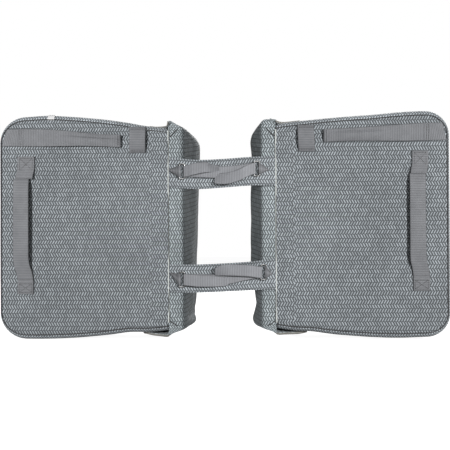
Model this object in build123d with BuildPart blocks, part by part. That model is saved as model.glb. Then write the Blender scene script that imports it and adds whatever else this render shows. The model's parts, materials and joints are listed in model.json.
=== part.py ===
"""Double pannier bag: two soft bags joined by two fabric bands that lie over a carrier.

The pair is modelled spread flat and standing on edge.  X runs from the left bag to the
right bag, Y from the carrier side of the bands into the depth of the bags, and Z from the
aft edge of the bags to their fore edge.  The origin is the middle of the bridge, on the
face of the bands that lies on the carrier.  Distances named *_x are measured outwards
from the middle and are used on both sides.
"""

from build123d import *
import os

# Bags, seen square on
SEAM_X = 91.0           # middle of the bridge to the seam along the top of a back panel
END_X = 380.0           # middle of the bridge to the base of a bag
SEAM_HALF = 168.0       # half the bag's width at the seam
WIDE_X = 250.0          # where the side gusset passes through WIDE_HALF
WIDE_HALF = 187.0
CORNER_RADIUS = 30.0
GAP = 0.4               # clearance between pieces that are sewn together

# Levels through the depth of a bag
PANEL_Y = 2.6           # carrier side of the back panel
CLOTH = 1.6             # one layer of coated fabric
GUSSET_Y = PANEL_Y + CLOTH + GAP
BAG_DEPTH = 150.0
OUTER_Y = BAG_DEPTH - CLOTH
BOARD = 2.0
FOAM = 4.0
LINING = 0.8

# Bridge
BAND_LENGTH = 2 * (SEAM_X - 1)
BAND_WIDTH = 49.0
BAND = 2.0
BANDS = {"fore": 92.0, "aft": -85.0}    # height of each band's centre line
HINGE_STRIP_X = 71.8    # inner edge of the strip that carries the lid

# Webbing
WEB = 1.6
STAY_WIDTH = 30.0
STAY_END_X = 172.0
STAY_FOLD_X = 338.0     # where the stay strap folds at its stitching
LOWER_WIDTH = 28.0
LOWER_X = 335.0         # centre line of the lower strap
LOWER_FOLD_Z = -90.0
LOWER_TOP_Z = 82.5
SEWN_LENGTH = 24.0      # sewn length at the end of a lower strap
KEEPER_X = 143.5
KEEPER_Z = 147.5
STRAP_LIFT = {"left": 0.0, "right": 4.0}    # the right bag's straps are sewn this much higher
STAY_Z = 152.0
WEB_Y = PANEL_Y - 0.3 - WEB     # carrier side of webbing that lies on a back panel

# Rings and carrier straps
RING_WIRE = 1.1         # radius
RING_PITCH = 9.0        # between the two long bars of a ring
RING_HEIGHT = 24.8      # between the centres of its short bars
RING_Y = -3.4
FOLD_OUTER = 2.4        # webbing folded round a bar
FOLD_INNER = 1.25
TAB_WIDTH = 20.0
TAB_LENGTH = 19.0
TAB_END_X = 90.4
CARRIER_WIDTH = 20.0
CARRIER_WEB = 1.2
RINGS = {               # centre of the bar that holds the carrier strap: distance out, height
    "fore_left": (62.5, 93.0),
    "fore_right": (55.0, 96.5),
    "aft_left": (63.5, -90.0),
    "aft_right": (65.0, -78.0),
}
STRAP_TIP_X = {         # free end of each carrier strap, from the middle
    "fore_left": 13.0,
    "fore_right": -11.0,
    "aft_left": -6.0,
    "aft_right": 8.0,
}

# Lid
LID_CLOTH = 2.0
LID_HINGE_X = 71.0
CROWN_X = 44.5          # how near the middle the crown reaches
CROWN_HALF = 138.0      # half width of the crown's ridge
HOOD_HALF = 179.0       # half width of the hood at the seam
SKIRT_X = 132.0         # how far the side skirts reach over the bag
SKIRT_HALF = 184.0
ROOF_X = 62.0           # where the flap starts
ROOF_Y = 153.0
FLAP_Y = 154.0
FLAP_END_X = 262.0
FLAP_HALF = 156.0
FLAP_CORNER = 28.0
PATCH_X = 215.0
PATCH_Z = 95.0
PATCH_LENGTH = 50.0     # along the bag's width
PATCH_WIDTH = 38.0
PATCH = 1.0

SIDES = {"left": -1, "right": 1}


def facing(y):
    """A sketch plane square to the depth at y: sketch x is X and sketch y is Z."""
    return Plane.XZ.offset(-y)


def save(piece, node):
    piece.part.label = node
    export_step(piece.part, f"parts/{node}.step")


def bag_outline(side, inset=0.0, start_x=SEAM_X + 0.5, end_inset=0.0):
    """The bag seen square on: gently bowed sides, a straight base and round corners."""
    end_x = END_X - inset - end_inset
    half = WIDE_HALF - inset
    with BuildSketch() as outline:
        with BuildLine():
            fore = ThreePointArc(
                (side * start_x, SEAM_HALF - inset), (side * WIDE_X, half), (side * end_x, half)
            )
            base = Line(fore @ 1, (side * end_x, -half))
            aft = ThreePointArc(
                base @ 1, (side * WIDE_X, -half), (side * start_x, inset - SEAM_HALF)
            )
            Line(aft @ 1, fore @ 0)
        make_face()
        far_corners = outline.vertices().sort_by(Axis.X, reverse=side > 0)[:2]
        fillet(far_corners, CORNER_RADIUS - inset)
    return outline.sketch


def bag_sheet(side, y, thickness, inset, start_x=SEAM_X + 0.5, end_inset=0.0):
    """A flat sheet with the bag's outline, starting at depth y."""
    with BuildPart() as sheet:
        with BuildSketch(facing(y)):
            add(bag_outline(side, inset, start_x, end_inset))
        extrude(amount=-thickness)
    return sheet


def flat_piece(side, x_range, z_range, y, thickness, corner=0.0):
    """A rectangular piece of cloth, webbing or board lying square to the depth."""
    (x_low, x_high), (z_low, z_high) = x_range, z_range
    with BuildPart() as piece:
        with BuildSketch(facing(y)) as outline:
            with Locations((side * (x_low + x_high) / 2, (z_low + z_high) / 2)):
                Rectangle(x_high - x_low, z_high - z_low)
            if corner:
                fillet(outline.vertices(), corner)
        extrude(amount=-thickness)
    return piece


def gusset(side, x_range, z_range):
    """A stretch of the cloth wall round the bag, cut out by a range of x and of z."""
    (x_low, x_high), (z_low, z_high) = x_range, z_range
    with BuildPart() as wall:
        with BuildSketch(facing(GUSSET_Y)):
            add(bag_outline(side))
            add(bag_outline(side, inset=CLOTH), mode=Mode.SUBTRACT)
        extrude(amount=-(OUTER_Y - GAP - GUSSET_Y))
        with Locations((side * (x_low + x_high) / 2, BAG_DEPTH / 2, (z_low + z_high) / 2)):
            Box(x_high - x_low, 2 * BAG_DEPTH, z_high - z_low, mode=Mode.INTERSECT)
    return wall


def make_body(name, side):
    """Cloth shell of one bag with its boards, foam and lining."""
    corner_x = END_X - CORNER_RADIUS - 4
    reach = 2 * WIDE_HALF
    save(bag_sheet(side, PANEL_Y, CLOTH, inset=5), f"{name}_back_panel")
    save(bag_sheet(side, OUTER_Y, CLOTH, inset=1), f"{name}_outer_panel")
    save(gusset(side, (SEAM_X, corner_x), (1, reach)), f"{name}_fore_gusset")
    save(gusset(side, (SEAM_X, corner_x), (-reach, -1)), f"{name}_aft_gusset")
    save(gusset(side, (corner_x + GAP, END_X + 5), (-reach, reach)), f"{name}_base_panel")

    board_y = GUSSET_Y + GAP
    save(
        bag_sheet(side, board_y, BOARD, inset=12, start_x=SEAM_X + 6),
        f"{name}_back_board",
    )
    foam_y = OUTER_Y - GAP - FOAM
    save(bag_sheet(side, foam_y, FOAM, inset=6, start_x=SEAM_X + 4), f"{name}_outer_foam")

    base_board_x = END_X - CLOTH - 1 - BOARD
    with BuildPart() as base_board:
        with BuildSketch(Plane.YZ.offset(side * base_board_x)) as outline:
            with Locations((BAG_DEPTH / 2, 0)):
                Rectangle(BAG_DEPTH - 30, 2 * (WIDE_HALF - CORNER_RADIUS))
            fillet(outline.vertices(), 10)
        extrude(amount=side * BOARD)
    save(base_board, f"{name}_base_board")

    liner_low = board_y + BOARD + GAP
    liner_high = foam_y - GAP
    with BuildPart() as liner:
        with BuildSketch(facing(liner_low)):
            add(bag_outline(side, inset=CLOTH + 1, end_inset=4))
        extrude(amount=-(liner_high - liner_low))
        with BuildSketch(facing(liner_low + LINING)):
            add(bag_outline(side, inset=CLOTH + 1 + LINING, end_inset=4))
        extrude(amount=-(liner_high - liner_low - 2 * LINING), mode=Mode.SUBTRACT)
    save(liner, f"{name}_liner")


def make_seam(name, side):
    """Strips along the top of the back panel, where the bands and the lid are sewn on."""
    half = SEAM_HALF - 5
    strip_y = PANEL_Y - 0.3
    facing_piece = flat_piece(
        side, (SEAM_X + 0.5, SEAM_X + 31), (-half, half), strip_y - 1.1, 1.1
    )
    save(facing_piece, f"{name}_seam_facing")
    hinge_strip = flat_piece(side, (HINGE_STRIP_X, SEAM_X), (-half, half), strip_y, 1.2)
    save(hinge_strip, f"{name}_lid_strip")
    with BuildPart() as piping:
        with BuildSketch(Plane.XY.offset(-half)):
            with Locations((side * (SEAM_X + 0.4), strip_y + 4)):
                Circle(1.3)
        extrude(amount=2 * half)
        with Locations((side * (SEAM_X + 5), strip_y + 4, 0)):
            Box(9.1, 6, 2 * half + 2, mode=Mode.SUBTRACT)
    save(piping, f"{name}_seam_piping")


def hood_plan(side, inset, skirt_x):
    """The hood seen square on, narrowing from its skirts to the crown's ridge."""
    ridge = (side * (CROWN_X + inset), CROWN_HALF - inset)
    seam = (side * SEAM_X, HOOD_HALF - inset)
    shoulder = (side * (CROWN_X + 16 + inset / 2), CROWN_HALF + 23 - inset)
    skirt = (side * skirt_x, SKIRT_HALF - inset)
    with BuildSketch() as plan:
        with BuildLine() as half_line:
            Line((side * (CROWN_X + inset), 0), ridge)
            ThreePointArc(ridge, shoulder, seam)
            Line(seam, skirt)
            Line(skirt, (side * skirt_x, 0))
            mirror(half_line.line, about=Plane.XZ)
        make_face()
    return plan.sketch


def hood_profile(side, inner):
    """The hood seen along the bag's width.  The inner profile runs on past the openings."""
    wall = LID_CLOTH if inner else 0.0
    foot = (side * (LID_HINGE_X + 0.5 + wall * 2.6), 3.8 - wall * 1.9)
    knee = (side * (CROWN_X + 2.5 + wall * 0.8), 38 + wall * 0.6)
    with BuildSketch() as profile:
        with BuildLine():
            Line(foot, knee)
            Line(knee, (side * (CROWN_X + wall), 60))
            Line((side * (CROWN_X + wall), 60), (side * (CROWN_X + wall), 130))
            bend = ThreePointArc(
                (side * (CROWN_X + wall), 130),
                (side * (CROWN_X + 4.7 + wall * 0.7), 145.5 - wall * 0.5),
                (side * ROOF_X, ROOF_Y - wall),
            )
            if inner:
                Polyline(bend @ 1, (side * ROOF_X, 170), (side * 150, 170), (side * 150, 0), foot)
            else:
                Polyline(
                    bend @ 1,
                    (side * SKIRT_X, ROOF_Y - 5),
                    (side * SKIRT_X, 32),
                    (side * (SEAM_X + 9), 13),
                    foot,
                )
        make_face()
    return profile.sketch


def hood_volume(side, inner):
    reach = 2 * WIDE_HALF
    inset, skirt_x = (LID_CLOTH, SKIRT_X + 10) if inner else (0.0, SKIRT_X)
    with BuildPart() as volume:
        with BuildSketch(Plane.XY.offset(-reach / 2)):
            add(hood_profile(side, inner))
        extrude(amount=reach)
        with BuildSketch(facing(-10)):
            add(hood_plan(side, inset, skirt_x))
        extrude(amount=-2 * BAG_DEPTH, mode=Mode.INTERSECT)
    return volume.part


def make_lid(name, side):
    """Hood over the mouth of the bag, and the flap that closes down over the outer panel."""
    with BuildPart() as hood:
        add(hood_volume(side, inner=False))
        add(hood_volume(side, inner=True), mode=Mode.SUBTRACT)
    save(hood, f"{name}_lid_hood")

    with BuildPart() as flap:
        with BuildSketch(facing(FLAP_Y)) as outline:
            with Locations((side * (ROOF_X + 0.5 + FLAP_END_X) / 2, 0)):
                Rectangle(FLAP_END_X - ROOF_X - 0.5, 2 * FLAP_HALF)
            far_corners = outline.vertices().sort_by(Axis.X, reverse=side > 0)[:2]
            fillet(far_corners, FLAP_CORNER)
        extrude(amount=-LID_CLOTH)
    save(flap, f"{name}_flap")

    patch_sketches = {"hook": FLAP_Y - 0.1 - PATCH, "loop": BAG_DEPTH + 0.1}
    for kind, y in patch_sketches.items():
        with BuildPart() as patches:
            with BuildSketch(facing(y)):
                with Locations((side * PATCH_X, PATCH_Z), (side * PATCH_X, -PATCH_Z)):
                    Rectangle(PATCH_WIDTH, PATCH_LENGTH)
            extrude(amount=-PATCH)
        save(patches, f"{name}_{kind}_patches")

    top_y = FLAP_Y + LID_CLOTH + 0.2
    reflector = flat_piece(side, (232, 244), (-120, 120), top_y, 0.6)
    save(reflector, f"{name}_flap_reflector")
    tab = flat_piece(side, (FLAP_END_X - 11, FLAP_END_X + 27), (-13, 13), top_y, WEB, corner=3)
    save(tab, f"{name}_pull_tab")


def make_straps(name, side):
    """Webbing on the back panel: stay strap and its keeper, lower strap and its tab."""
    lift = STRAP_LIFT[name]
    stay_z = (STAY_Z + lift - STAY_WIDTH / 2, STAY_Z + lift + STAY_WIDTH / 2)
    lower_x = (LOWER_X - LOWER_WIDTH / 2, LOWER_X + LOWER_WIDTH / 2)
    fold_z = LOWER_FOLD_Z + lift

    stay = flat_piece(side, (STAY_END_X, STAY_FOLD_X - 0.3), stay_z, WEB_Y, WEB, corner=2)
    save(stay, f"{name}_stay_strap")
    lower = flat_piece(
        side, lower_x, (fold_z + 0.3, LOWER_TOP_Z + lift), WEB_Y, WEB, corner=2
    )
    save(lower, f"{name}_lower_strap")

    with BuildPart() as sewn_ends:
        with BuildSketch(facing(WEB_Y)):
            with Locations((side * (STAY_FOLD_X + END_X - 7) / 2, STAY_Z + lift)):
                Rectangle(END_X - 7 - STAY_FOLD_X, STAY_WIDTH)
            with Locations((side * LOWER_X, fold_z - SEWN_LENGTH / 2)):
                Rectangle(LOWER_WIDTH, SEWN_LENGTH)
        extrude(amount=-WEB)
    save(sewn_ends, f"{name}_strap_sewn_ends")

    tab = flat_piece(
        side,
        (LOWER_X - 15, LOWER_X + 15),
        (LOWER_TOP_Z + lift + 0.5, LOWER_TOP_Z + lift + 38),
        WEB_Y,
        WEB,
    )
    save(tab, f"{name}_lower_strap_tab")

    with BuildPart() as keeper:
        with BuildSketch(Plane.YZ.offset(side * KEEPER_X - 14)):
            with BuildLine():
                Polyline(
                    (WEB_Y + WEB, KEEPER_Z - 22),
                    (WEB_Y, KEEPER_Z - 22),
                    (WEB_Y, KEEPER_Z - 17),
                    (WEB_Y - 2.2, KEEPER_Z - 14),
                    (WEB_Y - 2.2, KEEPER_Z + 14),
                    (WEB_Y, KEEPER_Z + 17),
                    (WEB_Y, KEEPER_Z + 22),
                    (WEB_Y + WEB, KEEPER_Z + 22),
                    (WEB_Y + WEB, KEEPER_Z + 16.4),
                    (WEB_Y - 0.6, KEEPER_Z + 13.4),
                    (WEB_Y - 0.6, KEEPER_Z - 13.4),
                    (WEB_Y + WEB, KEEPER_Z - 16.4),
                    close=True,
                )
            make_face()
        extrude(amount=28)
    save(keeper, f"{name}_strap_keeper")


def make_bands():
    for name, z in BANDS.items():
        edges = (z - BAND_WIDTH / 2, z + BAND_WIDTH / 2)
        half = BAND_LENGTH / 2
        save(flat_piece(1, (-half, half), edges, 0, BAND), f"{name}_band")


def ring_place(key):
    """Side, middle height and bar positions of a ring."""
    side = SIDES[key.split("_")[1]]
    bar, z = RINGS[key]
    return side, z, side * bar, side * (bar + RING_PITCH)


def make_rings():
    """Wire rings, the tabs that hold them to the bands, and the straps through them."""
    for key in RINGS:
        side, z, strap_bar, tab_bar = ring_place(key)
        with BuildPart() as ring:
            with BuildLine() as path:
                low, high = z - RING_HEIGHT / 2, z + RING_HEIGHT / 2
                FilletPolyline(
                    (strap_bar, RING_Y, low),
                    (strap_bar, RING_Y, high),
                    (tab_bar, RING_Y, high),
                    (tab_bar, RING_Y, low),
                    close=True,
                    radius=2,
                )
            with BuildSketch(Plane(origin=(strap_bar, RING_Y, z), z_dir=(0, 0, 1))):
                Circle(RING_WIRE)
            sweep(path=path.line)
        save(ring, f"{key}_ring")

        plate_top = RING_Y - FOLD_OUTER
        tip = side * STRAP_TIP_X[key]
        with BuildPart() as strap_end:
            with BuildSketch(Plane.XY.offset(z - CARRIER_WIDTH / 2)):
                with Locations((strap_bar, RING_Y)):
                    Circle(FOLD_OUTER)
                with Locations(((strap_bar + tip) / 2, plate_top + CARRIER_WEB / 2)):
                    Rectangle(abs(strap_bar - tip), CARRIER_WEB)
                with Locations((strap_bar, RING_Y)):
                    Circle(FOLD_INNER, mode=Mode.SUBTRACT)
            extrude(amount=CARRIER_WIDTH)
        save(strap_end, f"{key}_strap_end")

    with BuildPart() as tabs:
        for key in RINGS:
            side, z, strap_bar, tab_bar = ring_place(key)
            length = min(TAB_LENGTH, TAB_END_X - abs(tab_bar))
            with BuildSketch(Plane.XY.offset(z - TAB_WIDTH / 2)):
                with Locations((tab_bar, RING_Y)):
                    Circle(FOLD_OUTER)
                with Locations((tab_bar + side * length / 2, -0.95)):
                    Rectangle(length, CARRIER_WEB)
                with Locations((tab_bar, RING_Y)):
                    Circle(FOLD_INNER, mode=Mode.SUBTRACT)
            extrude(amount=TAB_WIDTH)
    save(tabs, "ring_tabs")

    for name, z in BANDS.items():
        left = RINGS[f"{name}_left"][0] - FOLD_OUTER - 0.5
        right = RINGS[f"{name}_right"][0] - FOLD_OUTER - 0.5
        edges = (z - CARRIER_WIDTH / 2, z + CARRIER_WIDTH / 2)
        save(flat_piece(1, (-left, right), edges, -1.9, CARRIER_WEB), f"{name}_carrier_strap")


def make_side_reflector():
    """Small reflective tag sewn into the left bag's fore gusset."""
    with BuildPart() as tag:
        with BuildSketch(Plane.XY.offset(WIDE_HALF + 2.2)):
            with Locations((-292, 11)):
                Rectangle(12, 10)
        extrude(amount=0.6)
    save(tag, "left_side_reflector")


os.makedirs("parts", exist_ok=True)
for bag_name, bag_side in SIDES.items():
    make_body(bag_name, bag_side)
    make_seam(bag_name, bag_side)
    make_lid(bag_name, bag_side)
    make_straps(bag_name, bag_side)
make_side_reflector()
make_bands()
make_rings()
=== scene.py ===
"""Looks of the double pannier bag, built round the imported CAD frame.

Lengths are in millimetres until a mesh is made, and u is the distance from the middle of
the bridge outwards, so that one shape function serves both bags (x = side * u).
"""

import json
import math

import bmesh
import bpy
import numpy as np
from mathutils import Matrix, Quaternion, Vector, noise

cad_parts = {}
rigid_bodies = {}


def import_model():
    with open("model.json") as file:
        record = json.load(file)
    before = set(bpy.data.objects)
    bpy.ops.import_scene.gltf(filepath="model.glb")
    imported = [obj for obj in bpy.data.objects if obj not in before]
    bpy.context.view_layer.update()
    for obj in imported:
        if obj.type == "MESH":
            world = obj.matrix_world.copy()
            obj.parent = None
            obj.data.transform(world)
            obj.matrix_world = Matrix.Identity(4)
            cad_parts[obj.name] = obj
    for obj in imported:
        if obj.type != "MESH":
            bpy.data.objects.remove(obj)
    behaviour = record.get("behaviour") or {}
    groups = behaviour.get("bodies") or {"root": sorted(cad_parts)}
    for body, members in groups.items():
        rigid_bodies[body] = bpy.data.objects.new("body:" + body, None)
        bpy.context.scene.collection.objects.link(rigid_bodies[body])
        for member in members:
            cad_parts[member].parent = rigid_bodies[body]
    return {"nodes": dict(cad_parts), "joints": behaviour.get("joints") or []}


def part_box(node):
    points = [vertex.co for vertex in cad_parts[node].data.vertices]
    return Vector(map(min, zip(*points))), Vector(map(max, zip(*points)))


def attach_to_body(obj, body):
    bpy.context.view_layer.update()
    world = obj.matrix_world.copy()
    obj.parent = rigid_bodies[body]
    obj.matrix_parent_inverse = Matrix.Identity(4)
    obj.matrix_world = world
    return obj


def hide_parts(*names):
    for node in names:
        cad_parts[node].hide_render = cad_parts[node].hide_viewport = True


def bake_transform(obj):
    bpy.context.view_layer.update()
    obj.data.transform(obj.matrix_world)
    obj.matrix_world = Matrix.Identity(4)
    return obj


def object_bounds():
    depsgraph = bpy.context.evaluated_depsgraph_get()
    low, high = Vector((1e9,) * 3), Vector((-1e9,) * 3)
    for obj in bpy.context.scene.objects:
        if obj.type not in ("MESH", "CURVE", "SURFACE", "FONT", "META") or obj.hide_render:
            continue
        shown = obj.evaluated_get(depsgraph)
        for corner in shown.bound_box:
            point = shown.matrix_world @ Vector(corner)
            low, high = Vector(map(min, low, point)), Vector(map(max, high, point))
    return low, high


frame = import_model()
CAD_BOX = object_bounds()

MM = 0.001
SIDES = {"left": -1, "right": 1}
JOINTS = {joint["name"]: joint for joint in frame["joints"]}


def low(node):
    """Lowest corner of a CAD node, in millimetres."""
    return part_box(node)[0] / MM


def high(node):
    """Highest corner of a CAD node, in millimetres."""
    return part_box(node)[1] / MM


def spans(node):
    """Nearest and farthest distance u of a CAD node, then its lowest and highest z."""
    lo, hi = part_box(node)
    return (*sorted(abs(corner.x) / MM for corner in (lo, hi)), lo.z / MM, hi.z / MM)


# Places taken from the frame
SEAM = JOINTS["right_bag_fold"]["pos_m"][0] / MM
END = high("right_base_panel").x
PANEL_Y = low("right_back_panel").y
OUTER_Y = high("right_outer_panel").y
FLAP_Y = low("right_flap").y
FLAP_END = high("right_flap").x
FLAP_HALF = high("right_flap").z
ROOF_U = low("right_flap").x
HALF_AT_SEAM = high("right_seam_facing").z + 5
BAND_HALF = (high("fore_band").z - low("fore_band").z) / 2
CORNER = {-1: 44.0, 1: 38.0}    # radius of the round base corners, by side
SIDE_SLOPE = 0.1852         # the side gusset bows out from the seam to the base
SIDE_BOW = -0.000413        # and this much less with the square of the distance
SEAM_INSET = 5.0            # the panel's seam lies this far inside the bag's outline
BASE_INSET = 1.8            # the same at the base
CLOTH = 1.6                 # thickness of the shell's cloth
FLAP_ROOT = ROOF_U - 3      # where the flap's cloth starts
FLAP_CORNER = 28.0          # radius of the flap's two free corners
LIFT = 0.6                  # the flap's cloth rests this far above its CAD sheet's near face
BINDING = ((-3.6, 1.5), (-3.6, 2.9), (-0.6, 2.6), (0.9, 1.2), (0.9, -0.4), (-0.6, -1.6),
           (-3.6, -1.7), (-3.6, -0.3))   # section of the flap's binding, as (outwards, up)
PATCH_HALF = 25             # half the length of a hook or loop patch
LID_HINGE_U = 71            # the lid bends over a band of depth at this distance; passed to bend, which does not use it


# ---------------------------------------------------------------- materials

class Value:
    """A node's output.  Arithmetic on it adds Math nodes."""

    def __init__(self, nodes, socket):
        self.nodes, self.socket = nodes, socket

    def __add__(self, other):
        return self.nodes.maths("ADD", self, other)

    def __sub__(self, other):
        return self.nodes.maths("SUBTRACT", self, other)

    def __mul__(self, other):
        return self.nodes.maths("MULTIPLY", self, other)

    def __truediv__(self, other):
        return self.nodes.maths("DIVIDE", self, other)


class Nodes:
    """Short-hand for building a material's node tree."""

    def __init__(self, name):
        self.material = bpy.data.materials.new(name)
        self.material.use_nodes = True
        self.tree = self.material.node_tree
        self.shader = self.tree.nodes["Principled BSDF"]

    def feed(self, sockets, inputs):
        """Links or sets inputs, given in order or by name."""
        for key, value in inputs.items() if isinstance(inputs, dict) else enumerate(inputs):
            if isinstance(value, Value):
                self.tree.links.new(value.socket, sockets[key])
            elif value is not None:
                sockets[key].default_value = value

    def node(self, kind, inputs=(), output=0, **settings):
        """Adds a node and returns one of its outputs."""
        node = self.tree.nodes.new("ShaderNode" + kind)
        for key, value in settings.items():
            setattr(node, key, value)
        self.feed(node.inputs, inputs)
        return Value(self, node.outputs[output])

    def surface(self, **inputs):
        """Feeds the material's shader."""
        self.feed(self.shader.inputs, {key.replace("_", " "): value for key, value in inputs.items()})

    def maths(self, operation, a, b=None, c=None):
        return self.node("Math", (a, b, c), operation=operation)

    def line(self, value, slope, start):
        return self.maths("MULTIPLY_ADD", value, slope, start)

    def wave(self, value, period):
        return self.maths("SINE", value * (2 * math.pi / period))

    def mix(self, factor, a, b):
        return self.node("Mix", {0: factor, 6: a, 7: b}, 2, data_type="RGBA")

    def ramp(self, value, start, stop, low_value=0.0, high_value=1.0):
        return self.node("MapRange", (value, start, stop, low_value, high_value),
                         interpolation_type="SMOOTHSTEP")

    def noise(self, vector, scale, detail=2.0):
        return self.node("TexNoise", {"Vector": vector, "Scale": scale, "Detail": detail,
                                      "Roughness": 0.5}, "Fac")

    def cloth_place(self):
        """Place on the cloth in millimetres: along the rows, across the rows, and both."""
        place = self.node("UVMap", uv_map="cloth")
        x = self.node("SeparateXYZ", (place,))
        y = Value(self, x.socket.node.outputs[1])
        return x * 1000.0, y * 1000.0, place

    def tone(self, colour, shade):
        """Base colour of the shader: a colour times a shade."""
        self.surface(Base_Color=self.node("VectorMath", {0: colour, "Scale": shade}, operation="SCALE"))

    def bump(self, height, distance, strength):
        self.surface(Normal=self.node("Bump", {"Height": height, "Distance": distance,
                                               "Strength": strength}))


def grey(level, tint=(1.0, 1.0, 1.0)):
    return (level * tint[0], level * tint[1], level * tint[2], 1.0)


COOL = (0.909, 0.993, 1.058)    # tint of the grey shell cloth
ROW = 7.35                  # height of one row of the herringbone
PITCH = 4.6                 # spacing of its dashes
LEAN = 0.8                  # how far a dash leans over a row, as a share of the pitch
PAINTED_SEAM_LIGHT = 0.16                 # how much lighter the panels are painted beside the bridge: painted light, brighter towards the seam


def herringbone(name, light, dark, tint=COOL):
    """Woven rows of slanted dashes whose lean alternates from row to row."""
    n = Nodes(name)
    along, across, place = n.cloth_place()
    wander = (n.noise(place, 38.0) - 0.5) * 1.6
    rows = (across + wander) / ROW
    row = n.maths("FLOOR", rows)
    height = rows - row - 0.5
    odd = n.maths("MODULO", n.maths("ABSOLUTE", row), 2.0) * 2.0
    lean = (odd - 1.0) * LEAN
    row_shift = n.node("TexWhiteNoise", {"W": row}, noise_dimensions="1D")
    phase = n.line(row, 0.5, row_shift * 0.3)
    shifted = along / PITCH + phase + lean * height
    column = n.maths("FLOOR", shifted)
    offset = n.maths("ABSOLUTE", shifted - column - 0.5)
    cell = n.node("CombineXYZ", (column, row))
    uneven = n.node("TexWhiteNoise", {"Vector": cell}, noise_dimensions="2D")
    body = n.ramp(offset, 0.1, n.line(uneven, 0.06, 0.3), 1.0, 0.0)
    dash = body * n.ramp(n.maths("ABSOLUTE", height), 0.36, 0.48, 1.0, 0.0)
    strand = n.line(n.wave(across, 0.9), 0.08, 0.92)
    amount = dash * (strand * n.ramp(uneven, 0.0, 1.0, 0.72, 1.0))
    patch = n.ramp(n.noise(place, 9.0, 3.0), 0.3, 0.7, 0.94, 1.06)
    # Painted light: the cloth is lighter from 93 mm out and back to its own tone by 290 mm, for brighter
    # light near the bridge.
    from_middle = n.maths("ABSOLUTE", along)
    painted_seam_light = n.ramp(from_middle, 92.8, 93.2) * n.ramp(from_middle, 100.0, 290.0, 1.0, 0.0)
    n.tone(n.mix(amount, grey(dark, tint), grey(light, tint)),
           patch * n.line(painted_seam_light, PAINTED_SEAM_LIGHT, 1.0 - 0.3 * PAINTED_SEAM_LIGHT))
    n.surface(Roughness=n.ramp(amount, 0.0, 1.0, 0.85, 0.6), Sheen_Weight=0.05, Sheen_Roughness=0.5,
              Specular_IOR_Level=0.3)
    n.bump(dash + n.noise(place, 900.0, 1.0) * 0.25, 0.0004, 0.8)
    return n.material


RIB = 2.9                   # spacing of the ribs across a strap
WARP = 1.9                  # spacing of the yarns along it


def webbing(name, level, tint=(0.955, 0.98, 1.045)):
    """Plain webbing: fine ribs across its length and painted shade along both edges."""
    n = Nodes(name)
    along, across, place = n.cloth_place()
    rib = n.wave(along, RIB)
    weave = n.line(rib * n.wave(across, WARP), 0.22, n.line(rib, 0.28, 0.5))
    slub = n.ramp(n.noise(place, 55.0, 3.0), 0.3, 0.7, 0.92, 1.06)
    # Painted shade: both edges are darkened to half over their last 1.3 mm, for the shadow along a
    # strap's sides.
    painted_edge_shade = n.ramp(across, 0.2, 1.3, 0.5, 1.0)
    n.tone(grey(level, tint)[:3], n.line(weave, 0.75, 0.62) * (slub * painted_edge_shade))
    n.surface(Roughness=n.ramp(weave, 0.0, 1.0, 0.8, 0.6), Sheen_Weight=0.05, Specular_IOR_Level=0.35)
    n.bump(weave, 0.00035, 0.8)
    return n.material


def plain_cloth(name, level, tint=(1, 1, 1), thread=0.9, rough=0.75):
    """Plain woven cloth, for lining, binding and thread."""
    n = Nodes(name)
    along, across, place = n.cloth_place()
    weave = n.line(n.wave(along, thread) * n.wave(across, thread), 0.5, 0.5)
    slub = n.ramp(n.noise(place, 60.0, 3.0), 0.3, 0.7, 0.85, 1.12)
    n.tone(grey(level, tint)[:3], n.line(weave, 0.3, 0.85) * slub)
    n.surface(Roughness=n.ramp(weave, 0.0, 1.0, rough + 0.1, rough - 0.1), Sheen_Weight=0.1)
    n.bump(weave, 0.0003, 0.6)
    return n.material


def in_space(name, level, rough=0.5, metallic=0.0, grain=400.0, depth=0.0002):
    """A material that reads its place in space, for CAD nodes, which carry no cloth map."""
    n = Nodes(name)
    place = n.node("TexCoord", output="Object")
    fine = n.noise(place, grain, 3.0)
    n.tone(grey(level)[:3], n.ramp(n.noise(place, grain / 14, 3.0), 0.3, 0.7, 0.8, 1.2))
    n.surface(Roughness=n.ramp(fine, 0.3, 0.7, rough * 0.75, min(1.0, rough * 1.25)), Metallic=metallic)
    n.bump(fine, depth, 0.6)
    return n.material


MATERIALS = {
    "shell": herringbone("herringbone_cloth", 0.415, 0.085),
    # A slightly lighter copy of the shell cloth for the lid: painted light for the brighter light on the
    # lid.
    "lid": herringbone("herringbone_lid_cloth", 0.425, 0.085, (0.885, 0.995, 1.04)),
    "webbing": webbing("grey_webbing", 0.114),
    "carrier_webbing": webbing("light_grey_webbing", 0.17),
    "thread": plain_cloth("dark_thread", 0.035, (0.98, 0.99, 1.04), 0.5),
    "hem": plain_cloth("hem_tape", 0.13, (1.03, 1.0, 0.9), 1.4),
    "piping": plain_cloth("pale_piping", 0.42, (0.96, 1.0, 0.97), 0.7),
    "binding": plain_cloth("dark_binding", 0.10, (0.98, 0.99, 1.03), 0.8),
    "lining": plain_cloth("lining_cloth", 0.05, (1, 1, 1.05), 0.8, 0.6),
    "hook_and_loop": plain_cloth("hook_and_loop_tape", 0.03, (1, 1, 1), 1.6, 0.9),
    "reflective": plain_cloth("reflective_tape", 0.55, (1, 1, 1), 1.2, 0.3),
    "metal": in_space("dark_nickel", 0.22, rough=0.2, metallic=1.0, grain=2500.0, depth=0.00005),
    "board": in_space("stiffening_board", 0.05, rough=0.55, grain=500.0),
    "foam": in_space("foam_pad", 0.09, rough=0.9, grain=900.0, depth=0.0006),
}


# ---------------------------------------------------------------- mesh helpers

def attach(piece, body, *nodes):
    """The piece moves with a body and takes the place of CAD nodes."""
    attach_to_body(piece, body)
    if nodes:
        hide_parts(*nodes)


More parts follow.
